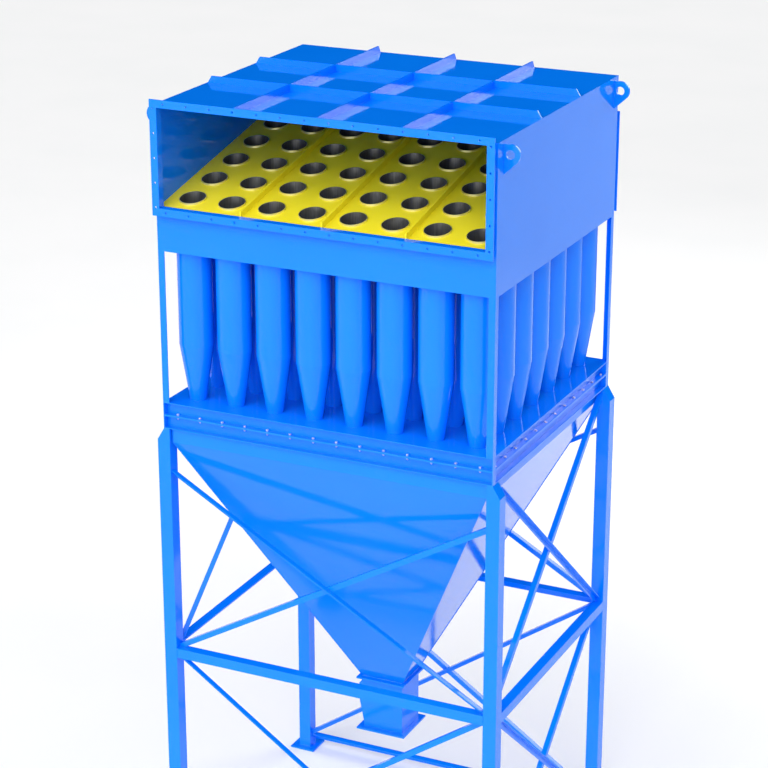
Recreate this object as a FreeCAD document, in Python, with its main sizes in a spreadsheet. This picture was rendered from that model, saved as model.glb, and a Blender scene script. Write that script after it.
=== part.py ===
"""Multi-tube cyclone separator: 56 small cyclones between a gas casing and a dust hopper, on four legs.

Units are millimetres.  +Z is up, Z = 0 is the ground, the clean-gas outlet faces -Y and the dusty-gas
inlet faces +Y.  X = 0 and Y = 0 are the middle of the casing.
"""
import os

import FreeCAD
import Part
import Sketcher
from FreeCAD import Placement, Rotation, Vector

COLUMNS = 8            # cyclones across the width
ROWS = 7               # cyclones from front to back
FLANGE_BOLTS_X = 14    # holes along a duct flange's top and bottom
FLANGE_BOLTS_Z = 5     # holes down each side of a duct flange
OUTLET_BOLTS = 3       # holes along each side of the discharge flange

SIZES = (
    # alias, value, what it measures
    ("side_margin", 170, "casing side to the nearest cyclone centres"),
    ("end_margin", 160, "casing front or back to the nearest cyclone centres"),
    ("casing_height", 937, "casing floor to the top of the roof"),
    ("casing_wall", 8, "casing plate"),
    ("floor_wall", 8, "casing floor, which carries the barrels"),
    ("leg_top", 3260, "ground to the top of the legs"),
    ("leg_size", 90, "legs, square box section"),
    ("leg_wall", 6, "leg section wall"),
    ("leg_overhang", 50, "legs stand out past the casing sides"),
    ("leg_bevel", 82, "height of the sloping cut on a leg's outer top corner"),
    ("base_size", 190, "base plate, square"),
    ("base_thickness", 12, "base plate"),
    ("anchor_inset", 25, "anchor holes, in from the base plate's edges"),
    ("anchor_radius", 11, "anchor hole"),
    ("mid_beam_top", 1692, "ground to the top of the middle beams"),
    ("mid_angle", 68, "middle beam angle, both flanges"),
    ("mid_angle_wall", 7, "middle beam angle wall"),
    ("foot_beam_top", 95, "ground to the top of the foot beams"),
    ("foot_angle", 50, "foot beam angle, both flanges"),
    ("foot_angle_wall", 5, "foot beam angle wall"),
    ("brace_angle", 36, "brace angle, both flanges"),
    ("brace_wall", 4, "brace angle wall"),
    ("brace_gap", 0.4, "between two braces where they cross"),
    ("brace_inset_y", 17, "side braces behind the outer faces of the legs"),
    ("brace_drop_x", 312, "leg top down to the upper ends of the front and back braces"),
    ("brace_drop_y", 55, "leg top down to the upper ends of the side braces"),
    ("brace_seat", -2, "middle beam top up to the lower ends of the upper braces"),
    ("brace_tuck", 56, "middle beam top down to the upper ends of the lower braces"),
    ("brace_foot", 120, "ground up to the lower ends of the lower braces"),
    ("rim_height", 90, "each of the two bolted rims"),
    ("rim_recess", 40, "rim web behind the edge of its flanges"),
    ("rim_flange", 60, "rim flange width"),
    ("rim_wall", 6, "rim plates"),
    ("rim_cheek", 45, "plates that close the rim at the corners"),
    ("dust_plate_wall", 6, "plate that the cones stand in"),
    ("bank_height", 1013, "dust plate top to the underside of the casing floor"),
    ("post_angle", 45, "corner posts, both flanges"),
    ("post_wall", 5, "corner post wall"),
    ("tube_pitch", 280, "cyclone centres, both ways"),
    ("barrel_radius", 113, "cyclone barrel, outside"),
    ("barrel_wall", 5, "cyclone barrel and cone wall"),
    ("barrel_length", 635, "straight part of a barrel"),
    ("cone_end_radius", 54, "foot of a cone, outside"),
    ("spigot_length", 20, "cone foot below the dust plate"),
    ("seat_gap", 0.4, "round pieces in their holes"),
    ("outlet_tube_radius", 85, "clean-gas tube, outside"),
    ("outlet_tube_wall", 4, "clean-gas tube wall"),
    ("outlet_tube_dip", 200, "clean-gas tube below the casing floor"),
    ("outlet_tube_proud", 12, "clean-gas tube above the sloping sheet"),
    ("sheet_front", 280, "casing floor to the sheet's top at the casing front"),
    ("sheet_back", 700, "casing floor to the sheet's top at the casing back"),
    ("sheet_wall", 6, "sloping outlet sheet"),
    ("seam_height", 40, "upstanding seams of the sheet"),
    ("seam_width", 12, "upstanding seams of the sheet, both flanges together"),
    ("duct_flange", 50, "duct flange width"),
    ("duct_flange_wall", 8, "duct flange plate"),
    ("duct_neck", 50, "duct flange face to the casing"),
    ("duct_neck_wall", 8, "short duct between the casing and a flange"),
    ("front_sill", 291, "casing floor underside to the bottom of the front opening"),
    ("back_sill", 67, "casing floor underside to the bottom of the back opening"),
    ("back_opening", 573, "height of the back opening"),
    ("flange_hole_radius", 7, "duct flange hole"),
    ("flange_side_inset", 97, "duct flange corner to the first hole across"),
    ("flange_end_inset", 55, "duct flange corner to the first hole up the sides"),
    ("rib_height", 45, "roof ribs"),
    ("rib_wall", 10, "roof ribs"),
    ("rib_spacing_y", 645, "side-to-side ribs"),
    ("rib_bevel", 28, "sloping end of a rib"),
    ("rib_end_gap", 4, "rib ends short of the roof edge"),
    ("lug_reach", 40, "casing side to the centre of a lug's hole"),
    ("lug_radius", 62, "rounded head of a lug"),
    ("lug_hole", 28, "lug hole radius"),
    ("lug_drop", 85, "roof top to the centre of a lug's hole"),
    ("lug_foot", 121, "lug hole centre to the lug's pointed foot"),
    ("lug_wall", 15, "lug plate"),
    ("lug_front", 97, "casing front to the middle of a front lug"),
    ("lug_back", 65, "casing back to the middle of a back lug"),
    ("collar_leg_gap", 10, "hopper collar to the legs and side braces"),
    ("collar_inset_y", 25, "hopper collar inside the casing front and back"),
    ("collar_height", 98, "upright part of the hopper"),
    ("hopper_wall", 6, "hopper plate"),
    ("hopper_foot", 1310, "ground to the bottom of the hopper"),
    ("hopper_outlet_x", 300, "hopper outlet, outside, across"),
    ("hopper_outlet_y", 280, "hopper outlet, outside, front to back"),
    ("discharge_flange", 30, "discharge flanges, past the hopper outlet's sides"),
    ("discharge_flange_wall", 12, "discharge flanges"),
    ("discharge_height", 398, "hopper outlet to the bottom of the discharge flange"),
    ("discharge_hole_radius", 7, "discharge flange hole"),
    ("discharge_hole_inset", 20, "discharge flange corner to the first hole"),
    ("discharge_wall", 6, "discharge body plate"),
    ("discharge_right", 4, "discharge body's upright side, in from the hopper outlet's side"),
    ("discharge_left", 12, "discharge body's narrow ends, in from the hopper outlet's side"),
    ("discharge_bulge", 41, "discharge body's bulging side, out from its narrow ends"),
    ("discharge_end", 5, "discharge body's front and back, in from the hopper outlet's"),
    ("bulge_top", 54, "top of the body to the bulge"),
    ("bulge_side", 115, "upright part of the bulge"),
)

doc = FreeCAD.newDocument("CycloneSeparator")
sheet = doc.addObject("Spreadsheet::Sheet", "sizes")
for line, (alias, value, note) in enumerate(SIZES, start=1):
    sheet.set(f"A{line}", note)
    sheet.set(f"B{line}", str(value))
    sheet.setAlias(f"B{line}", alias)
doc.recompute()


class Named:
    """Writes a spreadsheet cell the way an expression reads it."""

    def __getattr__(self, alias):
        return f"sizes.{alias}"


s = Named()

# levels and half sizes that several pieces share
HALF_X = f"({(COLUMNS - 1) / 2} * {s.tube_pitch} + {s.side_margin})"
HALF_Y = f"({(ROWS - 1) / 2} * {s.tube_pitch} + {s.end_margin})"
LEG_OUT = f"({HALF_X} + {s.leg_overhang})"
LEG_IN = f"({LEG_OUT} - {s.leg_size})"
LEG_IN_Y = f"({HALF_Y} - {s.leg_size})"
MID_RIM = f"({s.leg_top} + {s.rim_height})"
TRAY = f"({MID_RIM} + {s.rim_height})"
FLOOR = f"({TRAY} + {s.bank_height})"
ROOF = f"({FLOOR} + {s.casing_height})"
COLLAR_FOOT = f"({s.leg_top} - {s.collar_height})"
SHEET_SLOPE = f"(({s.sheet_back} - {s.sheet_front}) / (2 * {HALF_Y}))"
SHEET_FRONT = f"({FLOOR} + {s.sheet_front})"
SHEET_BACK = f"({FLOOR} + {s.sheet_back})"
SEAM_PITCH = f"(2 * {s.tube_pitch})"
OPEN_X = f"({HALF_X} - {s.duct_flange})"
FRONT_LOW = f"({FLOOR} + {s.front_sill})"
FRONT_HIGH = f"({ROOF} - {s.casing_wall})"
BACK_LOW = f"({FLOOR} + {s.back_sill})"
BACK_HIGH = f"({BACK_LOW} + {s.back_opening})"
OUTLET_TOP = f"({s.hopper_foot} - {s.discharge_flange_wall})"
OUTLET_FOOT = f"({s.hopper_foot} - {s.discharge_height})"

PLANES = {
    # sketch plane: its turn, the way it is extruded, and the placement axis of that way
    "XY": (Rotation(), Vector(0, 0, 1), "z"),
    "XZ": (Rotation(Vector(1, 0, 0), 90), Vector(0, 1, 0), "y"),
    "YZ": (Rotation(Vector(1, 1, 1), 120), Vector(1, 0, 0), "x"),
}


def add(kind, name, **values):
    """Add an object, with each given property bound to an expression."""
    thing = doc.addObject(kind, name)
    for prop, expression in values.items():
        thing.setExpression(prop, str(expression))
    return thing


def place(thing, x=0, y=0, z=0):
    """Bind where an object stands."""
    for axis, expression in zip("xyz", (x, y, z)):
        thing.setExpression(f"Placement.Base.{axis}", str(expression))
    return thing


def block(name, x, y, z):
    """A box from pairs of low and high expressions."""
    spans = [f"({high}) - ({low})" for low, high in (x, y, z)]
    box = add("Part::Box", name, Length=spans[0], Width=spans[1], Height=spans[2])
    return place(box, x[0], y[0], z[0])


def rod(name, radius, length, x=0, y=0, z=0, along="z"):
    """A cylinder that starts at a point and runs along +X, +Y or +Z."""
    turns = {"x": Rotation(Vector(0, 1, 0), 90), "y": Rotation(Vector(1, 0, 0), -90), "z": Rotation()}
    cylinder = add("Part::Cylinder", name, Radius=radius, Height=length)
    cylinder.Placement = Placement(Vector(), turns[along])
    return place(cylinder, x, y, z)


def fuse(name, *pieces):
    result = doc.addObject("Part::MultiFuse", name)
    result.Shapes = list(pieces)
    return result


def group(name, *pieces):
    result = doc.addObject("Part::Compound", name)
    result.Links = list(pieces)
    return result


def cut(name, base, *tools):
    result = doc.addObject("Part::Cut", name)
    result.Base = base
    result.Tool = tools[0] if len(tools) == 1 else group(f"{name}_tools", *tools)
    return result


def outline(name, plane, points):
    """A closed sketch of straight lines whose corners are pairs of expressions."""
    sketch = doc.addObject("Sketcher::SketchObject", name)
    sketch.Placement = Placement(Vector(), PLANES[plane][0])
    at = [Vector(*(float(sketch.evalExpression(str(e))) for e in point), 0) for point in points]
    for here, there in zip(at, at[1:] + at[:1]):
        sketch.addGeometry(Part.LineSegment(here, there))
    for index in range(len(points)):
        follower = (index + 1) % len(points)
        sketch.addConstraint(Sketcher.Constraint("Coincident", index, 2, follower, 1))
    for index, point in enumerate(points):
        for kind, expression, start in zip(("DistanceX", "DistanceY"), point, at[index]):
            rule = sketch.addConstraint(Sketcher.Constraint(kind, -1, 1, index, 1, start))
            sketch.setExpression(f"Constraints[{rule}]", str(expression))
    return sketch


def prism(name, plane, points, start, length):
    """A sketch outline extruded from a start, given as expressions."""
    sketch = outline(f"{name}_outline", plane, points)
    _, direction, axis = PLANES[plane]
    sketch.setExpression(f"Placement.Base.{axis}", str(start))
    solid = add("Part::Extrusion", name, LengthFwd=length)
    solid.Base = sketch
    solid.DirMode = "Custom"
    solid.Dir = direction
    solid.Solid = True
    return solid


def both(low, high, side):
    """Low and high of a span on the + or - side of the middle."""
    return (low, high) if side > 0 else (f"-({high})", f"-({low})")


def ring(name, half_x, half_y, wall_x, wall_y, z):
    """A flat frame of plate with an outer half size and widths in X and Y."""
    outer = block(f"{name}_outer", (f"-{half_x}", half_x), (f"-{half_y}", half_y), z)
    hole_x = f"({half_x} - {wall_x})"
    hole_y = f"({half_y} - {wall_y})"
    hole = block(f"{name}_hole", (f"-{hole_x}", hole_x), (f"-{hole_y}", hole_y), z)
    return cut(name, outer, hole)


def tube_centres():
    """Column, row and centre expressions of every cyclone."""
    for row in range(ROWS):
        for column in range(COLUMNS):
            x = f"({column - (COLUMNS - 1) / 2}) * {s.tube_pitch}"
            y = f"({row - (ROWS - 1) / 2}) * {s.tube_pitch}"
            yield column, row, x, y


def bored(name, base, radius, length, z):
    """A plate with a hole at every cyclone."""
    holes = [rod(f"{name}_hole_{row}_{column}", radius, length, x, y, z)
             for column, row, x, y in tube_centres()]
    return cut(name, base, *holes)


def copies(name, source, spots):
    """One compound of linked copies of a solid, moved by expressions."""
    links = []
    for number, spot in enumerate(spots):
        link = doc.addObject("App::Link", f"{name}_{number}")
        link.LinkedObject = source
        links.append(place(link, *spot))
    return group(name, *links)


nodes = []


def node(thing):
    """Mark an object as a piece of the machine that is exported."""
    thing.Label = thing.Name
    nodes.append(thing)
    return thing


# --- legs, base plates and frame -------------------------------------------------------------------

def leg(name, side_x, side_y):
    y_low, y_high = both(LEG_IN_Y, HALF_Y, side_y)
    body = prism(f"{name}_body", "XZ", (
        (f"{side_x} * {LEG_IN}", s.base_thickness),
        (f"{side_x} * {LEG_OUT}", s.base_thickness),
        (f"{side_x} * {LEG_OUT}", f"{s.leg_top} - {s.leg_bevel}"),
        (f"{side_x} * {HALF_X}", s.leg_top),
        (f"{side_x} * {LEG_IN}", s.leg_top),
    ), y_low, s.leg_size)
    hollow = prism(f"{name}_hollow", "XZ", (
        (f"{side_x} * ({LEG_IN} + {s.leg_wall})", s.base_thickness),
        (f"{side_x} * ({LEG_OUT} - {s.leg_wall})", s.base_thickness),
        (f"{side_x} * ({LEG_OUT} - {s.leg_wall})", f"{s.leg_top} - {s.leg_bevel} - {s.leg_wall}"),
        (f"{side_x} * ({HALF_X} - {s.leg_wall})", f"{s.leg_top} - {s.leg_wall}"),
        (f"{side_x} * ({LEG_IN} + {s.leg_wall})", f"{s.leg_top} - {s.leg_wall}"),
    ), f"{y_low} + {s.leg_wall}", f"{s.leg_size} - 2 * {s.leg_wall}")
    return node(cut(name, body, hollow))


CORNERS = (("front_left", -1, -1), ("front_right", 1, -1), ("back_left", -1, 1), ("back_right", 1, 1))

for corner, side_x, side_y in CORNERS:
    leg(f"leg_{corner}", side_x, side_y)

plates = []
for corner, side_x, side_y in CORNERS:
    mid_x = f"{side_x} * ({LEG_OUT} - {s.leg_size} / 2)"
    mid_y = f"{side_y} * ({HALF_Y} - {s.leg_size} / 2)"
    plate = block(f"base_{corner}_plate",
                  (f"{mid_x} - {s.base_size} / 2", f"{mid_x} + {s.base_size} / 2"),
                  (f"{mid_y} - {s.base_size} / 2", f"{mid_y} + {s.base_size} / 2"),
                  (0, s.base_thickness))
    holes = [rod(f"base_{corner}_hole_{number}", s.anchor_radius, s.base_thickness,
                 f"{mid_x} + {u} * ({s.base_size} / 2 - {s.anchor_inset})",
                 f"{mid_y} + {v} * ({s.base_size} / 2 - {s.anchor_inset})")
             for number, (u, v) in enumerate(((-1, -1), (1, -1), (1, 1), (-1, 1)))]
    plates.append(cut(f"base_{corner}", plate, *holes))
node(group("base_plates", *plates))


def angle_beam(name, along, side, top, width, wall, fold):
    """A level angle between two legs: one flange upright in the outer face, the other pointing inwards.

    fold is 1 with the level flange on top and 0 with it at the bottom.
    """
    face = HALF_Y if along == "x" else LEG_OUT
    reach = LEG_IN if along == "x" else LEG_IN_Y
    upright = both(f"{face} - {wall}", face, side)
    level = both(f"{face} - {width}", face, side)
    level_top = top if fold else f"({top} - {width} + {wall})"
    span = (f"-{reach}", reach)
    parts = []
    for part, across, z in (("upright", upright, (f"{top} - {width}", top)),
                            ("level", level, (f"{level_top} - {wall}", level_top))):
        x, y = (span, across) if along == "x" else (across, span)
        parts.append(block(f"{name}_{part}", x, y, z))
    return fuse(name, *parts)


for name, along, side in (("front", "x", -1), ("back", "x", 1), ("left", "y", -1), ("right", "y", 1)):
    node(angle_beam(f"mid_beam_{name}", along, side, s.mid_beam_top, s.mid_angle, s.mid_angle_wall, 1))
foot_beams = [angle_beam(f"foot_beam_{name}", "x", side, s.foot_beam_top, s.foot_angle,
                         s.foot_angle_wall, 1)
              for name, side in (("front", -1), ("back", 1))]
node(group("foot_beams", *foot_beams))


def brace(name, plane, side, start_z, end_z, outward):
    """A sloping angle from the leg on the - side to the leg on the + side, its lip along the top.

    Two braces of a bay lie back to back: one has its lip outwards and the other inwards.
    """
    reach = LEG_IN if plane == "XZ" else LEG_IN_Y
    stretch = f"sqrt(1 + pow(({end_z} - ({start_z})) / (2 * {reach}); 2))"
    if plane == "XZ":
        back = f"({HALF_Y} - {s.mid_angle_wall} - {s.brace_gap} - {s.brace_angle})"
    else:
        back = f"({LEG_OUT} - {s.brace_inset_y} - {s.brace_angle})"
    if outward:
        flat = both(back, f"{back} + {s.brace_wall}", side)
        lip = both(back, f"{back} + {s.brace_angle}", side)
    else:
        flat = both(f"{back} - {s.brace_gap} - {s.brace_wall}", f"{back} - {s.brace_gap}", side)
        lip = both(f"{back} - {s.brace_gap} - {s.brace_angle}", f"{back} - {s.brace_gap}", side)

    def band(part, low, high, span):
        corners = []
        for u, z in ((f"-{reach}", start_z), (reach, end_z)):
            corners.append((u, f"{z} + ({low}) * {stretch}"))
        for u, z in ((reach, end_z), (f"-{reach}", start_z)):
            corners.append((u, f"{z} + ({high}) * {stretch}"))
        return prism(f"{name}_{part}", plane, corners, span[0], f"({span[1]}) - ({span[0]})")

    half = f"{s.brace_angle} / 2"
    return fuse(name, band("flat", f"-{half}", half, flat),
                band("lip", f"{half} - {s.brace_wall}", half, lip))


def brace_pair(name, plane, side, foot, top, low, high):
    """Two crossing braces between a foot and a top level, trimmed where they meet the beams."""
    bay = block(f"{name}_bay", (f"-{LEG_OUT}", LEG_OUT), (f"-{HALF_Y}", HALF_Y), (low, high))
    pieces = []
    for way, start, end, outward in (("falling", top, foot, True), ("rising", foot, top, False)):
        trimmed = doc.addObject("Part::Common", f"{name}_{way}_trimmed")
        trimmed.Base = brace(f"{name}_{way}", plane, side, start, end, outward)
        trimmed.Tool = bay
        pieces.append(trimmed)
    return node(group(name, *pieces))


MID_UNDER = f"({s.mid_beam_top} - {s.mid_angle_wall})"
for name, plane, side, drop in (("front", "XZ", -1, s.brace_drop_x), ("back", "XZ", 1, s.brace_drop_x),
                                ("left", "YZ", -1, s.brace_drop_y), ("right", "YZ", 1, s.brace_drop_y)):
    brace_pair(f"upper_braces_{name}", plane, side, f"({s.mid_beam_top} + {s.brace_seat})",
               f"({s.leg_top} - {drop})", s.mid_beam_top, s.leg_top)
    if name != "left":
        brace_pair(f"lower_braces_{name}", plane, side, s.brace_foot,
                   f"({s.mid_beam_top} - {s.brace_tuck})", s.foot_beam_top, MID_UNDER)

# --- hopper and discharge --------------------------------------------------------------------------

BRACE_IN = f"({LEG_OUT} - {s.brace_inset_y} - 2 * {s.brace_angle} - {s.brace_gap})"
COLLAR_X = f"(min({LEG_IN}; {BRACE_IN}) - {s.collar_leg_gap})"
COLLAR_Y = f"({HALF_Y} - {s.collar_inset_y})"


def funnel(name, wall):
    """A four-sided taper from the collar down to the outlet, made smaller by a wall."""
    taper = doc.addObject("Part::Wedge", name)
    taper.Placement = Placement(Vector(), Rotation(Vector(1, 0, 0), 90))
    for prop, half in (("Xmin", f"-({s.hopper_outlet_x} / 2 - {wall})"),
                       ("Xmax", f"{s.hopper_outlet_x} / 2 - {wall}"),
                       ("Zmin", f"-({s.hopper_outlet_y} / 2 - {wall})"),
                       ("Zmax", f"{s.hopper_outlet_y} / 2 - {wall}"),
                       ("X2min", f"-({COLLAR_X} - {wall})"), ("X2max", f"{COLLAR_X} - {wall}"),
                       ("Z2min", f"-({COLLAR_Y} - {wall})"), ("Z2max", f"{COLLAR_Y} - {wall}")):
        taper.setExpression(prop, half)
    taper.setExpression("Ymin", s.hopper_foot)
    taper.setExpression("Ymax", COLLAR_FOOT)
    return taper


def collar(name, wall):
    x = f"({COLLAR_X} - {wall})"
    y = f"({COLLAR_Y} - {wall})"
    return block(name, (f"-{x}", x), (f"-{y}", y), (COLLAR_FOOT, s.leg_top))


hopper_body = fuse("hopper_body", funnel("hopper_taper", 0), collar("hopper_collar", 0))
hopper_room = fuse("hopper_room", funnel("hopper_taper_room", s.hopper_wall),
                   collar("hopper_collar_room", s.hopper_wall))
node(cut("hopper_shell", hopper_body, hopper_room))


def square_flange(name, z_low, z_high):
    """A square flange with a row of holes along each side."""
    half = f"({s.hopper_outlet_x} / 2 + {s.discharge_flange})"
    hole_x = f"({s.hopper_outlet_x} / 2 - {s.hopper_wall})"
    hole_y = f"({s.hopper_outlet_y} / 2 - {s.hopper_wall})"
    plate = block(f"{name}_plate", (f"-{half}", half), (f"-{half}", half), (z_low, z_high))
    passage = block(f"{name}_passage", (f"-{hole_x}", hole_x), (f"-{hole_y}", hole_y), (z_low, z_high))
    edge = f"(({half} + {s.hopper_outlet_x} / 2) / 2)"
    reach = (OUTLET_BOLTS - 1) / 2
    holes = []
    for number in range(OUTLET_BOLTS):
        step = f"{(number - reach) / reach} * ({half} - {s.discharge_hole_inset})"
        for side in (-1, 1):
            holes.append((step, f"{side} * {edge}"))
            if 0 < number < OUTLET_BOLTS - 1:
                holes.append((f"{side} * {edge}", step))
    rods = [rod(f"{name}_hole_{number}", s.discharge_hole_radius, f"{z_high} - {z_low}", x, y, z_low)
            for number, (x, y) in enumerate(holes)]
    return cut(name, plate, passage, *rods)


node(square_flange("hopper_outlet_flange", OUTLET_TOP, s.hopper_foot))


def discharge_outline(wall):
    """Side view of the discharge body: upright on the right, bulging on the left."""
    top = OUTLET_TOP
    foot = f"({OUTLET_FOOT} + {s.discharge_flange_wall})"
    right = f"({s.hopper_outlet_x} / 2 - {s.discharge_right} - {wall})"
    left = f"({s.hopper_outlet_x} / 2 - {s.discharge_left} - {wall})"
    return (
        (right, top),
        (right, foot),
        (f"-{left}", foot),
        (f"-({left} + {s.discharge_bulge})", f"{top} - {s.bulge_top} - {s.bulge_side}"),
        (f"-({left} + {s.discharge_bulge})", f"{top} - {s.bulge_top}"),
        (f"-{left}", top),
    )


DISCHARGE_Y = f"({s.hopper_outlet_y} / 2 - {s.discharge_end})"
discharge_box = prism("discharge_box", "XZ", discharge_outline(0), f"-{DISCHARGE_Y}", f"2 * {DISCHARGE_Y}")
discharge_room = prism("discharge_room", "XZ", discharge_outline(s.discharge_wall),
                       f"-({DISCHARGE_Y} - {s.discharge_wall})",
                       f"2 * ({DISCHARGE_Y} - {s.discharge_wall})")
node(cut("discharge_body", discharge_box, discharge_room))
node(square_flange("discharge_flange_ring", OUTLET_FOOT, f"({OUTLET_FOOT} + {s.discharge_flange_wall})"))

# --- bolted rims and dust plate --------------------------------------------------------------------


def rim(name, z_low, z_high, flange_levels):
    """Channel round the hopper top: a web set back between flanges, front and back at full width."""
    web_x = f"({HALF_X} - {s.rim_recess})"
    web_y = f"({HALF_Y} - {s.rim_recess})"
    pieces = [ring(f"{name}_web", web_x, web_y, s.rim_wall, s.rim_wall, (z_low, z_high))]
    for number, (low, high) in enumerate(flange_levels):
        pieces.append(ring(f"{name}_flange_{number}", HALF_X, HALF_Y, s.rim_flange, s.rim_flange,
                           (low, high)))
    for number, side in enumerate((-1, 1)):
        pieces.append(block(f"{name}_long_web_{number}", (f"-{HALF_X}", HALF_X),
                            both(f"{web_y} - {s.rim_wall}", web_y, side), (z_low, z_high)))
    for corner, side_x, side_y in CORNERS:
        pieces.append(block(f"{name}_cheek_{corner}",
                            both(f"{HALF_X} - {s.rim_wall}", HALF_X, side_x),
                            both(f"{HALF_Y} - {s.rim_cheek}", HALF_Y, side_y), (z_low, z_high)))
    return node(fuse(name, *pieces))


rim("hopper_rim", s.leg_top, MID_RIM, ((s.leg_top, f"{s.leg_top} + {s.rim_wall}"),
                                       (f"{MID_RIM} - {s.rim_wall}", MID_RIM)))
PLATE_FOOT = f"({TRAY} - {s.dust_plate_wall})"
rim("dust_plate_rim", MID_RIM, PLATE_FOOT, ((MID_RIM, f"{MID_RIM} + {s.rim_wall}"),))
dust_plate = block("dust_plate_blank", (f"-{HALF_X}", HALF_X), (f"-{HALF_Y}", HALF_Y), (PLATE_FOOT, TRAY))
node(bored("dust_plate", dust_plate, f"{s.cone_end_radius} + {s.seat_gap}", s.dust_plate_wall, PLATE_FOOT))

# --- corner posts and cyclones ---------------------------------------------------------------------

posts = []
for corner, side_x, side_y in CORNERS:
    front = block(f"post_{corner}_front", both(f"{HALF_X} - {s.post_angle}", HALF_X, side_x),
                  both(f"{HALF_Y} - {s.post_wall}", HALF_Y, side_y), (TRAY, FLOOR))
    side = block(f"post_{corner}_side", both(f"{HALF_X} - {s.post_wall}", HALF_X, side_x),
                 both(f"{HALF_Y} - {s.post_angle}", HALF_Y, side_y), (TRAY, FLOOR))
    posts.append(fuse(f"post_{corner}", front, side))
node(group("corner_posts", *posts))


def cyclone_outline(name, wall):
    """Barrel, cone and spigot as one turned solid, made smaller by a wall."""
    barrel_foot = f"({FLOOR} - {s.barrel_length})"
    barrel = rod(f"{name}_barrel", f"{s.barrel_radius} - {wall}", s.barrel_length, z=barrel_foot)
    cone = add("Part::Cone", f"{name}_cone", Radius1=f"{s.cone_end_radius} - {wall}",
               Radius2=f"{s.barrel_radius} - {wall}", Height=f"{barrel_foot} - {TRAY}")
    place(cone, z=TRAY)
    spigot = rod(f"{name}_spigot", f"{s.cone_end_radius} - {wall}",
                 f"{s.dust_plate_wall} + {s.spigot_length}", z=f"{PLATE_FOOT} - {s.spigot_length}")
    return fuse(name, barrel, cone, spigot)


cyclone = cut("cyclone", cyclone_outline("cyclone_outside", 0),
              cyclone_outline("cyclone_inside", s.barrel_wall))
for wanted in range(ROWS):
    spots = [(x, y, 0) for _, row, x, y in tube_centres() if row == wanted]
    node(copies(f"cyclone_row_{wanted + 1}", cyclone, spots))

# --- casing ----------------------------------------------------------------------------------------

INNER_X = f"({HALF_X} - {s.casing_wall})"
INNER_Y = f"({HALF_Y} - {s.casing_wall})"
PANEL_TOP = f"({ROOF} - {s.casing_wall})"

floor_plate = block("casing_floor_blank", (f"-{INNER_X}", INNER_X), (f"-{INNER_Y}", INNER_Y),
                    (FLOOR, f"{FLOOR} + {s.floor_wall}"))
node(bored("casing_floor", floor_plate, f"{s.barrel_radius} - {s.barrel_wall}", s.floor_wall, FLOOR))
for name, side in (("left", -1), ("right", 1)):
    node(block(f"casing_{name}_panel", both(INNER_X, HALF_X, side), (f"-{HALF_Y}", HALF_Y),
               (FLOOR, PANEL_TOP)))


def end_wall(name, side, low, high):
    """Front or back wall between the side panels, with its duct opening."""
    y = both(INNER_Y, HALF_Y, side)
    wall = block(f"{name}_blank", (f"-{INNER_X}", INNER_X), y, (FLOOR, PANEL_TOP))
    opening = block(f"{name}_opening", (f"-{OPEN_X}", OPEN_X), y, (low, high))
    return node(cut(name, wall, opening))


end_wall("casing_front_wall", -1, FRONT_LOW, FRONT_HIGH)
end_wall("casing_back_wall", 1, BACK_LOW, BACK_HIGH)
node(block("roof_plate", (f"-{HALF_X}", HALF_X), (f"-{HALF_Y}", HALF_Y), (PANEL_TOP, ROOF)))


def duct_flange(name, side, low, high):
    """Bolted frame on a short duct in front of a casing opening."""
    out = f"({HALF_Y} + {s.duct_neck})"
    low_edge = f"({low} - {s.duct_flange})"
    high_edge = f"({high} + {s.duct_flange})"
    neck_x = f"({OPEN_X} + {s.duct_neck_wall})"
    neck_z = (f"{low} - {s.duct_neck_wall}", f"{high} + {s.duct_neck_wall}")
    plate = block(f"{name}_plate", (f"-{HALF_X}", HALF_X), both(f"{out} - {s.duct_flange_wall}", out, side),
                  (low_edge, high_edge))
    neck = block(f"{name}_neck", (f"-{neck_x}", neck_x), both(HALF_Y, out, side), neck_z)
    passage = block(f"{name}_passage", (f"-{OPEN_X}", OPEN_X), both(HALF_Y, out, side), (low, high))
    edge = f"({s.duct_flange} / 2)"
    first_x = f"(-{HALF_X} + {s.flange_side_inset})"
    first_z = f"({low_edge} + {s.flange_end_inset})"
    last_z = f"({high_edge} - {s.flange_end_inset})"
    spots = []
    for number in range(FLANGE_BOLTS_X):
        x = f"{first_x} * (1 - 2 * {number} / {FLANGE_BOLTS_X - 1})"
        spots += [(x, f"{low} - {edge}"), (x, f"{high} + {edge}")]
    for number in range(FLANGE_BOLTS_Z):
        z = f"{first_z} + ({last_z} - {first_z}) * {number} / {FLANGE_BOLTS_Z - 1}"
        spots += [(f"{OPEN_X} + {edge}", z), (f"-({OPEN_X} + {edge})", z)]
    start = both(f"{out} - {s.duct_flange_wall}", out, side)[0]
    holes = [rod(f"{name}_hole_{number}", s.flange_hole_radius, s.duct_flange_wall, x, start, z, "y")
             for number, (x, z) in enumerate(spots)]
    return node(cut(name, fuse(f"{name}_body", plate, neck), passage, *holes))


duct_flange("outlet_duct_flange", -1, FRONT_LOW, FRONT_HIGH)
duct_flange("inlet_duct_flange", 1, BACK_LOW, BACK_HIGH)

# --- sloping outlet sheet and clean-gas tubes ------------------------------------------------------


def slope_prism(name, x, lift_low, lift_high):
    """A slab that follows the sheet's slope, between two heights measured up from its top face."""
    def level(y, lift):
        at_y = f"({SHEET_FRONT} + ({y} + {HALF_Y}) * {SHEET_SLOPE})"
        return f"{at_y} + ({lift})"

    front, back = f"-{INNER_Y}", INNER_Y
    return prism(name, "YZ", ((front, level(front, lift_low)), (back, level(back, lift_low)),
                              (back, level(back, lift_high)), (front, level(front, lift_high))),
                 x[0], f"({x[1]}) - ({x[0]})")


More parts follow.
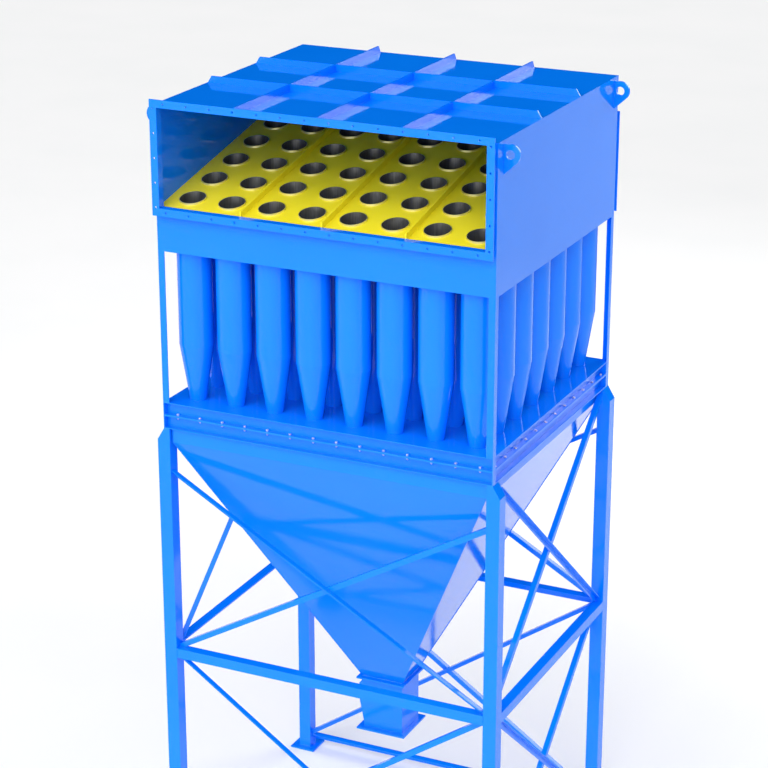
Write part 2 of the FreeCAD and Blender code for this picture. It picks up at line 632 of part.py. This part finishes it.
slab = slope_prism("sheet_slab", (f"-{INNER_X}", INNER_X), f"-{s.sheet_wall}", "0")
seams = [slope_prism(f"sheet_seam_{number}",
                     (f"{number - 1} * {SEAM_PITCH} - {s.seam_width} / 2",
                      f"{number - 1} * {SEAM_PITCH} + {s.seam_width} / 2"), "0", s.seam_height)
         for number in range(3)]
sheet_blank = fuse("sheet_blank", slab, *seams)
node(bored("outlet_tube_sheet", sheet_blank, f"{s.outlet_tube_radius} + {s.seat_gap}",
           s.casing_height, FLOOR))

TUBE_FOOT = f"({FLOOR} - {s.outlet_tube_dip})"
TUBE_LENGTH = f"({s.outlet_tube_dip} + {s.casing_height})"
tube = cut("outlet_tube", rod("outlet_tube_outside", s.outlet_tube_radius, TUBE_LENGTH, z=TUBE_FOOT),
           rod("outlet_tube_inside", f"{s.outlet_tube_radius} - {s.outlet_tube_wall}", TUBE_LENGTH,
               z=TUBE_FOOT))
long_tubes = copies("long_tubes", tube, [(x, y, 0) for _, _, x, y in tube_centres()])
above = slope_prism("above_tubes", (f"-{HALF_X}", HALF_X), s.outlet_tube_proud, s.casing_height)
node(cut("outlet_tubes", long_tubes, above))

# --- roof ribs and lifting lugs --------------------------------------------------------------------


def rib(name, plane, low, high, centre, bevel_low, bevel_high):
    """A flat bar on edge, with sloping ends where it has a bevel."""
    top = f"{ROOF} + {s.rib_height}"
    return prism(name, plane, ((low, ROOF), (high, ROOF), (f"{high} - {bevel_high}", top),
                               (f"{low} + {bevel_low}", top)),
                 f"{centre} - {s.rib_wall} / 2", s.rib_wall)


rib_x = f"({HALF_X} - {s.rib_end_gap})"
rib_back = f"({HALF_Y} - {s.rib_end_gap})"
rib_front = f"-({HALF_Y} + {s.duct_neck} - {s.duct_flange_wall})"
ribs = [rib(f"rib_across_{side + 1}", "XZ", f"-{rib_x}", rib_x, f"{side} * {s.rib_spacing_y} / 2",
            s.rib_bevel, s.rib_bevel) for side in (-1, 1)]
ribs += [rib(f"rib_along_{number}", "YZ", rib_front, rib_back, f"{number - 1} * {SEAM_PITCH}",
             0, s.rib_bevel) for number in range(3)]
node(fuse("roof_ribs", *ribs))

LUG_TANGENT = 47.4     # degrees below level where the lug's edge leaves its round head


def lug(name, side, y):
    """A plate standing out from a side panel, round about its hole and pointed at the foot."""
    hole_x = f"({HALF_X} + {s.lug_reach})"
    hole_z = f"({ROOF} - {s.lug_drop})"
    start = f"{y} - {s.lug_wall} / 2"
    neck = prism(f"{name}_neck", "XZ", (
        (f"{side} * {HALF_X}", f"{hole_z} - {s.lug_foot}"),
        (f"{side} * ({hole_x} + {s.lug_radius} * cos({LUG_TANGENT}))",
         f"{hole_z} - {s.lug_radius} * sin({LUG_TANGENT})"),
        (f"{side} * {hole_x}", hole_z),
        (f"{side} * {hole_x}", f"{hole_z} + {s.lug_radius}"),
        (f"{side} * {HALF_X}", f"{hole_z} + {s.lug_radius}"),
    ), start, s.lug_wall)
    head = rod(f"{name}_head", s.lug_radius, s.lug_wall, f"{side} * {hole_x}", start, hole_z, "y")
    trim = block(f"{name}_trim", both(f"{HALF_X} - {s.lug_radius}", HALF_X, side),
                 (start, f"{start} + {s.lug_wall}"),
                 (f"{hole_z} - {s.lug_radius}", f"{hole_z} + {s.lug_radius}"))
    hole = rod(f"{name}_hole", s.lug_hole, s.lug_wall, f"{side} * {hole_x}", start, hole_z, "y")
    return cut(name, fuse(f"{name}_plate", neck, head), trim, hole)


lugs = []
for corner, side_x, side_y in CORNERS:
    inset = s.lug_front if side_y < 0 else s.lug_back
    lugs.append(lug(f"lug_{corner}", side_x, f"{side_y} * ({HALF_Y} - {inset})"))
node(group("lifting_lugs", *lugs))

# --- build, test and export ------------------------------------------------------------------------

doc.recompute()
for thing in doc.Objects:
    if "Invalid" in thing.State or "Error" in thing.State:
        raise RuntimeError(f"{thing.Name} did not build: {thing.State}")
for piece in nodes:
    if piece.Shape.isNull() or not piece.Shape.isValid():
        raise RuntimeError(f"{piece.Name} has no valid shape")

os.makedirs("parts", exist_ok=True)
for piece in nodes:
    piece.Shape.exportStep(f"parts/{piece.Name}.step")
print(len(nodes), "nodes")
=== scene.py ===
"""Multi-tube cyclone separator: paint, bolts, weld beads, floor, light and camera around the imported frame."""
import math

import bpy
from mathutils import Euler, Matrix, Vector


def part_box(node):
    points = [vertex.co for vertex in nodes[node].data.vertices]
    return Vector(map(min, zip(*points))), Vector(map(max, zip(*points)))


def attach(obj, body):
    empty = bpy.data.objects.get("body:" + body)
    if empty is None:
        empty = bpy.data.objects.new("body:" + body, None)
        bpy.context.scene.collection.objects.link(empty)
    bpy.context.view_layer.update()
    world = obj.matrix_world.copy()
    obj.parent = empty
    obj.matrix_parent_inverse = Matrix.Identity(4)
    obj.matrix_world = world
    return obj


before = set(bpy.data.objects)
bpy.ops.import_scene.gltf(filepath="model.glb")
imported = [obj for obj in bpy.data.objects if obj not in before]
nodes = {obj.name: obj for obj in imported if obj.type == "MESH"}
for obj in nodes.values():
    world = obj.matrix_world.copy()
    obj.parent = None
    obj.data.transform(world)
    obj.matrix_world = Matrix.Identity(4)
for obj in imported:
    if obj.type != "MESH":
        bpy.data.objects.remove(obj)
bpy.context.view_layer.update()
scene = bpy.context.scene


# --- materials -------------------------------------------------------------------------------------

def new_material(name):
    material = bpy.data.materials.new(name)
    material.use_nodes = True
    return material


class Nodes:
    """A material's node tree with short calls for the nodes that the finishes share."""

    def __init__(self, material):
        self.material = material
        self.tree = material.node_tree
        self.shader = self.tree.nodes["Principled BSDF"]
        self.place = self.new("ShaderNodeTexCoord").outputs["Object"]

    def new(self, kind, **settings):
        made = self.tree.nodes.new(kind)
        for name, value in settings.items():
            setattr(made, name, value)
        return made

    def join(self, source, target):
        self.tree.links.new(source, target)

    def noise(self, scale, detail=2.0, roughness=0.5, stretch=None):
        texture = self.new("ShaderNodeTexNoise")
        texture.inputs["Scale"].default_value = scale
        texture.inputs["Detail"].default_value = detail
        texture.inputs["Roughness"].default_value = roughness
        if stretch:
            mapping = self.new("ShaderNodeMapping")
            mapping.inputs["Scale"].default_value = stretch
            self.join(self.place, mapping.inputs["Vector"])
            self.join(mapping.outputs["Vector"], texture.inputs["Vector"])
        else:
            self.join(self.place, texture.inputs["Vector"])
        return texture.outputs["Fac"]

    def span(self, value, low, high, start=0.3, end=0.7):
        """A value's middle range spread over low to high."""
        ranged = self.new("ShaderNodeMapRange")
        for name, number in (("From Min", start), ("From Max", end), ("To Min", low), ("To Max", high)):
            ranged.inputs[name].default_value = number
        self.join(value, ranged.inputs["Value"])
        return ranged.outputs["Result"]

    def vector(self, operation, source, *constants):
        """A vector sum on a source, with constants in its other inputs."""
        made = self.new("ShaderNodeVectorMath", operation=operation)
        self.join(source, made.inputs[0])
        for socket, constant in zip(list(made.inputs)[1:], constants):
            socket.default_value = constant
        return made

    def blend(self, factor, first, second):
        """A mix of two colours, each a tuple or a socket."""
        mix = self.new("ShaderNodeMix", data_type="RGBA")
        for socket, colour in ((mix.inputs[6], first), (mix.inputs[7], second)):
            if isinstance(colour, tuple):
                socket.default_value = (*colour, 1.0)
            else:
                self.join(colour, socket)
        self.join(factor, mix.inputs[0])
        return mix.outputs[2]

    def bump(self, *layers):
        """Stacked bumps, each given as height, strength and depth in metres."""
        normal = None
        for height, strength, depth in layers:
            made = self.new("ShaderNodeBump")
            made.inputs["Strength"].default_value = strength
            made.inputs["Distance"].default_value = depth
            self.join(height, made.inputs["Height"])
            if normal:
                self.join(normal, made.inputs["Normal"])
            normal = made.outputs["Normal"]
        self.join(normal, self.shader.inputs["Normal"])


def paint(name, colour, deep, gloss=(0.05, 0.10), level=0.35):
    """Sprayed gloss enamel: soft mottling, orange peel and the slight waviness of plate."""
    m = Nodes(new_material(name))
    mottle = m.noise(1.7, 4.0, 0.55)
    m.join(m.blend(m.span(mottle, 0.0, 1.0), deep, colour), m.shader.inputs["Base Color"])
    m.join(m.span(m.noise(9.0, 3.0), *gloss), m.shader.inputs["Roughness"])
    m.bump((m.noise(2.2, 1.0), 0.07, 0.0030), (m.noise(420.0, 1.0), 0.06, 0.0004))
    m.shader.inputs["Specular IOR Level"].default_value = level
    return m.material


def steel(name, colour, dark, roughness, drawn=(60.0, 60.0, 2.0)):
    """Bare steel with a drawn grain along its length and cloudy dulling."""
    m = Nodes(new_material(name))
    grain = m.noise(3.0, 5.0, 0.6, drawn)
    m.join(m.blend(m.span(grain, 0.0, 1.0), dark, colour), m.shader.inputs["Base Color"])
    m.join(m.span(m.noise(14.0, 4.0), *roughness), m.shader.inputs["Roughness"])
    m.bump((grain, 0.15, 0.0003))
    m.shader.inputs["Metallic"].default_value = 0.9
    return m.material


blue_paint = paint("blue_enamel", (0.002, 0.215, 0.990), (0.001, 0.203, 0.960))
yellow_paint = paint("yellow_enamel", (0.98, 0.81, 0.018), (0.93, 0.78, 0.016), gloss=(0.28, 0.40), level=0.3)
tube_steel = steel("tube_steel", (0.34, 0.34, 0.33), (0.20, 0.20, 0.20), (0.28, 0.42))
zinc = steel("zinc_plate", (0.76, 0.77, 0.80), (0.60, 0.61, 0.65), (0.22, 0.34), (8.0, 8.0, 8.0))

TUBE_PITCH = 0.280
TUBE_RADIUS = 0.085
TUBE_MIDDLE = Vector((0.140, 0.0, 0.0))   # the middle of one tube; the others lie at the pitch from it
SHEET_SLOPE = 0.21                        # rise of the outlet sheet to its run, toward the back
SHEET_LEVEL = 4.943                       # height of the sheet's plane at the middle of the frame
# light yellow for the tube ends: a painted reflection of the yellow sheet, not a paint the tubes have
SHEET_REFLECTION_TINT = (0.95, 0.88, 0.45)


def paint_tube_end_reflection(material):
    """Painted reflection: a light yellow on the outside of the tube ends above the sloping sheet, standing in
    for the yellow sheet reflected in the steel and the bright lip.
    """
    m = Nodes(material)
    half_cell = Vector((TUBE_PITCH / 2, TUBE_PITCH / 2, 10.0))
    cell = m.vector("WRAP", m.place, TUBE_MIDDLE + half_cell, TUBE_MIDDLE - half_cell)
    from_middle = m.vector("SUBTRACT", cell.outputs[0], TUBE_MIDDLE)
    level_part = m.vector("MULTIPLY", from_middle.outputs[0], (1.0, 1.0, 0.0))
    reach = m.vector("LENGTH", level_part.outputs[0])
    outside = m.span(reach.outputs["Value"], 0.0, 1.0, TUBE_RADIUS - 0.0038, TUBE_RADIUS - 0.0034)
    height = m.vector("DOT_PRODUCT", m.place, (0.0, -SHEET_SLOPE, 1.0))
    above = m.span(height.outputs["Value"], 0.0, 1.0, SHEET_LEVEL - 0.002, SHEET_LEVEL)
    # where the painted reflection of the yellow sheet goes: the tube's outer wall above the sheet
    reflection_mask = m.new("ShaderNodeMath", operation="MULTIPLY")
    m.join(outside, reflection_mask.inputs[0])
    m.join(above, reflection_mask.inputs[1])
    base = m.shader.inputs["Base Color"]
    m.join(m.blend(reflection_mask.outputs[0], base.links[0].from_socket, SHEET_REFLECTION_TINT), base)


paint_tube_end_reflection(tube_steel)

FINISH = {"outlet_tube_sheet": yellow_paint, "outlet_tubes": tube_steel}
for name, thing in nodes.items():
    finish = FINISH.get(name, blue_paint)
    thing.data.materials.clear()
    thing.data.materials.append(finish)


# --- meshes ----------------------------------------------------------------------------------------

class Mesh:
    """Points and faces gathered for one piece."""

    def __init__(self):
        self.points = []
        self.faces = []

    def rings(self, rings, cap=(True, True)):
        """Skin over rings of equal numbers of points, closed at the ends."""
        size = len(rings[0])
        base = len(self.points)
        for ring in rings:
            self.points.extend(ring)
        for level in range(len(rings) - 1):
            low = base + level * size
            for i in range(size):
                j = (i + 1) % size
                self.faces.append((low + i, low + j, low + size + j, low + size + i))
        if cap[0]:
            self.faces.append(tuple(reversed(range(base, base + size))))
        if cap[1]:
            last = base + (len(rings) - 1) * size
            self.faces.append(tuple(range(last, last + size)))

    def turned(self, centre, profile, sides, turn=0.0):
        """A turned or polygonal form from (radius, height) pairs round an upright axis."""
        rings = []
        for radius, height in profile:
            rings.append([Vector((centre[0] + radius * math.cos(turn + 2 * math.pi * i / sides),
                                  centre[1] + radius * math.sin(turn + 2 * math.pi * i / sides),
                                  centre[2] + height)) for i in range(sides)])
        self.rings(rings)

    def piece(self, name, material, smooth=40):
        data = bpy.data.meshes.new(name)
        data.from_pydata([tuple(p) for p in self.points], [], self.faces)
        data.update()
        data.materials.append(material)
        data.polygons.foreach_set("use_smooth", [True] * len(data.polygons))
        data.set_sharp_from_angle(angle=math.radians(smooth))
        made = bpy.data.objects.new(name, data)
        scene.collection.objects.link(made)
        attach(made, "root")
        return made


def hexagon(across_flats, height, chamfer, centre, turn, mesh, flip=1):
    """A hexagonal head or nut whose corners are turned down by a cone."""
    corner = across_flats / math.sqrt(3)
    flat = across_flats / 2
    sides = 24
    rings = []
    face = flat * 0.97
    for level, cone in ((0.0, corner), (height - chamfer, corner), (height, face)):
        ring = []
        for i in range(sides):
            angle = turn + 2 * math.pi * i / sides
            away = (angle - turn + math.pi / 6) % (math.pi / 3) - math.pi / 6
            radius = min(flat / math.cos(away), cone)
            ring.append(Vector((centre[0] + radius * math.cos(angle), centre[1] + radius * math.sin(angle),
                                centre[2] + flip * level)))
        rings.append(ring if flip > 0 else list(reversed(ring)))
    mesh.rings(rings)


WASHER = 0.0020
ACROSS_FLATS = 0.016
CHAMFER = 0.0012


def bolt(mesh, x, y, top, bottom, turn):
    """An M10 bolt through a flange joint: washer and head above, washer, nut and thread end below."""
    mesh.turned((x, y, top), ((0.0098, 0.0), (0.0100, 0.0004), (0.0100, 0.0017), (0.0096, WASHER)), 20)
    hexagon(ACROSS_FLATS, 0.0064, CHAMFER, (x, y, top + WASHER), turn, mesh)
    mesh.turned((x, y, bottom - WASHER),
                ((0.0096, 0.0), (0.0100, 0.0004), (0.0100, 0.0017), (0.0098, WASHER)), 20)
    hexagon(ACROSS_FLATS, 0.0084, CHAMFER, (x, y, bottom - WASHER), turn * 1.7, mesh, flip=-1)
    thread = [(0.0038, -0.0185)]
    for step in range(6):
        thread += [(0.0044, -0.0178 + step * 0.0015), (0.0050, -0.0170 + step * 0.0015)]
    thread.append((0.0050, -0.0080))
    mesh.turned((x, y, bottom), thread, 12)


FLANGE = 0.006             # each rim's flange at the joint
BOLT_EDGE = 0.025          # rim's outer edge to the line of bolts
FRONT_BOLTS = (14, 1.057)  # count, and the end bolts' distance from the middle
SIDE_BOLTS = (12, 0.915)
TURN_STEP = 0.7            # radians from one bolt's hexagon to the next

rim_low, rim_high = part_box("dust_plate_rim")
line_x, line_y = rim_high.x - BOLT_EDGE, rim_high.y - BOLT_EDGE
places = []
for side in (-1, 1):
    for (number, reach), along_x in ((FRONT_BOLTS, True), (SIDE_BOLTS, False)):
        for i in range(number):
            along = (2 * i / (number - 1) - 1) * reach
            places.append((along, side * line_y) if along_x else (side * line_x, along))
rim_bolts = Mesh()
for order, (x, y) in enumerate(places):
    bolt(rim_bolts, x, y, rim_low.z + FLANGE, rim_low.z - FLANGE, order * TURN_STEP)
rim_bolts.piece("rim_bolts", zinc, 30)


def bead(mesh, start, end, radius, step=0.007):
    """A weld bead between two points, swelling and narrowing with each pass of the torch."""
    start, end = Vector(start), Vector(end)
    along = (end - start).normalized()
    side = along.orthogonal().normalized()
    up = along.cross(side)
    count = max(4, round((end - start).length / step))
    rings = []
    for i in range(count + 1):
        grown = radius * (0.6 if i in (0, count) else 1.0 + 0.09 * math.sin(i * 2.2) + 0.07 * math.sin(i * 0.9))
        middle = start.lerp(end, i / count)
        rings.append([middle + grown * (math.cos(a) * side + math.sin(a) * up)
                      for a in (2 * math.pi * k / 8 for k in range(8))])
    mesh.rings(rings)


COLLAR = 0.098            # height of the hopper's upright collar
COLLAR_BARE = 0.004       # unwelded end under the rim
MOUTH = (0.150, 0.140)    # half the hopper's lower mouth, across and deep
BEAM = 0.066              # height of a middle beam's weld

welds = Mesh()
hopper_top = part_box("hopper_shell")[1]
mouth_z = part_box("hopper_outlet_flange")[1].z
collar_foot = hopper_top.z - COLLAR
for side_x in (-1, 1):
    for side_y in (-1, 1):
        corner = (side_x * hopper_top.x, side_y * hopper_top.y)
        bead(welds, (*corner, collar_foot), (side_x * MOUTH[0], side_y * MOUTH[1], mouth_z), 0.0035)
        bead(welds, (*corner, collar_foot), (*corner, hopper_top.z - COLLAR_BARE), 0.0030)
for side in (-1, 1):
    bead(welds, (-MOUTH[0], side * MOUTH[1], mouth_z), (MOUTH[0], side * MOUTH[1], mouth_z), 0.0040)
    bead(welds, (side * MOUTH[0], -MOUTH[1], mouth_z), (side * MOUTH[0], MOUTH[1], mouth_z), 0.0040)
beam_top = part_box("mid_beam_front")[1].z
for leg in ("leg_front_left", "leg_front_right", "leg_back_left", "leg_back_right"):
    low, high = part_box(leg)
    corners = ((low.x, low.y), (high.x, low.y), (high.x, high.y), (low.x, high.y))
    for i, first in enumerate(corners):
        bead(welds, (*first, low.z), (*corners[(i + 1) % 4], low.z), 0.0045)
    inner = high.x if low.x < 0 else low.x
    face = low.y if low.y < 0 else high.y
    bead(welds, (inner, face, beam_top), (inner, face, beam_top - BEAM), 0.0035)
welds.piece("weld_beads", blue_paint, 60)


# --- floor, light and camera -----------------------------------------------------------------------

def stage_floor():
    """A plain pale floor, the same for every ray."""
    data = bpy.data.meshes.new("studio_floor")
    reach = 60
    data.from_pydata([(-reach, -reach, 0), (reach, -reach, 0), (reach, reach, 0), (-reach, reach, 0)], [],
                     [(0, 1, 2, 3)])
    floor = bpy.data.objects.new("studio_floor", data)
    scene.collection.objects.link(floor)
    m = Nodes(new_material("pale_floor"))
    m.join(m.blend(m.span(m.noise(0.6, 2.0), 0.0, 1.0), (0.93, 0.935, 0.94), (0.95, 0.95, 0.955)),
           m.shader.inputs["Base Color"])
    m.shader.inputs["Roughness"].default_value = 0.75
    m.shader.inputs["Specular IOR Level"].default_value = 0.2
    data.materials.append(m.material)


stage_floor()


def studio_world():
    """Soft light, strongest from the front and above; the camera sees the sky itself as plain white."""
    world = bpy.data.worlds.new("studio")
    scene.world = world
    world.use_nodes = True
    tree = world.node_tree
    tree.nodes.clear()

    def new(kind, **settings):
        made = tree.nodes.new(kind)
        for name, value in settings.items():
            setattr(made, name, value)
        return made

    def ramp(value, *stops):
        """Brightness along a direction's part, whose range of -1 to 1 is spread over the stops' 0 to 1."""
        made = new("ShaderNodeValToRGB")
        elements = made.color_ramp.elements
        while len(elements) < len(stops):
            elements.new(0.5)
        for element, (at, level) in zip(elements, stops):
            element.position = at
            element.color = (level, level, level, 1.0)
        half = new("ShaderNodeMath", operation="MULTIPLY_ADD")
        half.inputs[1].default_value = 0.5
        half.inputs[2].default_value = 0.5
        tree.links.new(value, half.inputs[0])
        tree.links.new(half.outputs[0], made.inputs[0])
        return made.outputs[0]

    def product(first, second):
        made = new("ShaderNodeMix", data_type="RGBA", blend_type="MULTIPLY")
        made.inputs[0].default_value = 1.0
        tree.links.new(first, made.inputs[6])
        tree.links.new(second, made.inputs[7])
        return made.outputs[2]

    out = new("ShaderNodeOutputWorld")
    lit = new("ShaderNodeBackground")
    seen = new("ShaderNodeBackground")
    seen.inputs["Color"].default_value = (1.0, 1.0, 1.0, 1.0)
    path = new("ShaderNodeLightPath")
    mix = new("ShaderNodeMixShader")
    toward = new("ShaderNodeTexCoord")
    parts = new("ShaderNodeSeparateXYZ")
    tree.links.new(toward.outputs["Generated"], parts.inputs[0])
    depth = ramp(parts.outputs["Y"], (0.0, 1.0), (0.20, 1.0), (0.40, 0.72), (0.55, 0.36), (0.70, 0.23),
                 (0.88, 0.0), (1.0, 0.0))
    height = ramp(parts.outputs["Z"], (0.5, 1.4), (0.62, 2.2), (0.72, 3.8), (0.88, 3.8), (0.95, 1.0),
                  (1.0, 0.4))
    aside = new("ShaderNodeMath", operation="ABSOLUTE")
    tree.links.new(parts.outputs["X"], aside.inputs[0])
    width = ramp(aside.outputs[0], (0.5, 1.0), (0.65, 1.0), (0.80, 0.54), (1.0, 0.29))
    tree.links.new(product(product(depth, height), width), lit.inputs["Color"])
    tree.links.new(path.outputs["Is Camera Ray"], mix.inputs[0])
    tree.links.new(lit.outputs[0], mix.inputs[1])
    tree.links.new(seen.outputs[0], mix.inputs[2])
    tree.links.new(mix.outputs[0], out.inputs["Surface"])


def soft_box(name, place, away, size, power):
    """A flat white soft box that shines away from a direction; the box itself stays out of the picture."""
    data = bpy.data.lights.new(name, "AREA")
    data.shape = "RECTANGLE"
    data.size, data.size_y = size
    data.energy = power
    light = bpy.data.objects.new(name, data)
    light.location = place
    light.rotation_euler = Vector(away).to_track_quat("Z", "Y").to_euler()
    light.visible_camera = False
    scene.collection.objects.link(light)


soft_box("back_right", place=(4.42, 11.05, 8.54), away=(0.34, 0.85, 0.38), size=(6.5, 6.0), power=700.0)
studio_world()
scene.view_settings.view_transform = "Standard"

camera_data = bpy.data.cameras.new("camera")
camera_data.lens = 109.65
camera_data.sensor_width = 36.0
camera_data.clip_end = 200.0
camera = bpy.data.objects.new("camera", camera_data)
camera.location = (6.198, -13.104, 8.662)
camera.rotation_euler = Euler((math.radians(70.10), 0.0, math.radians(25.51)), "XYZ")
scene.collection.objects.link(camera)
scene.camera = camera
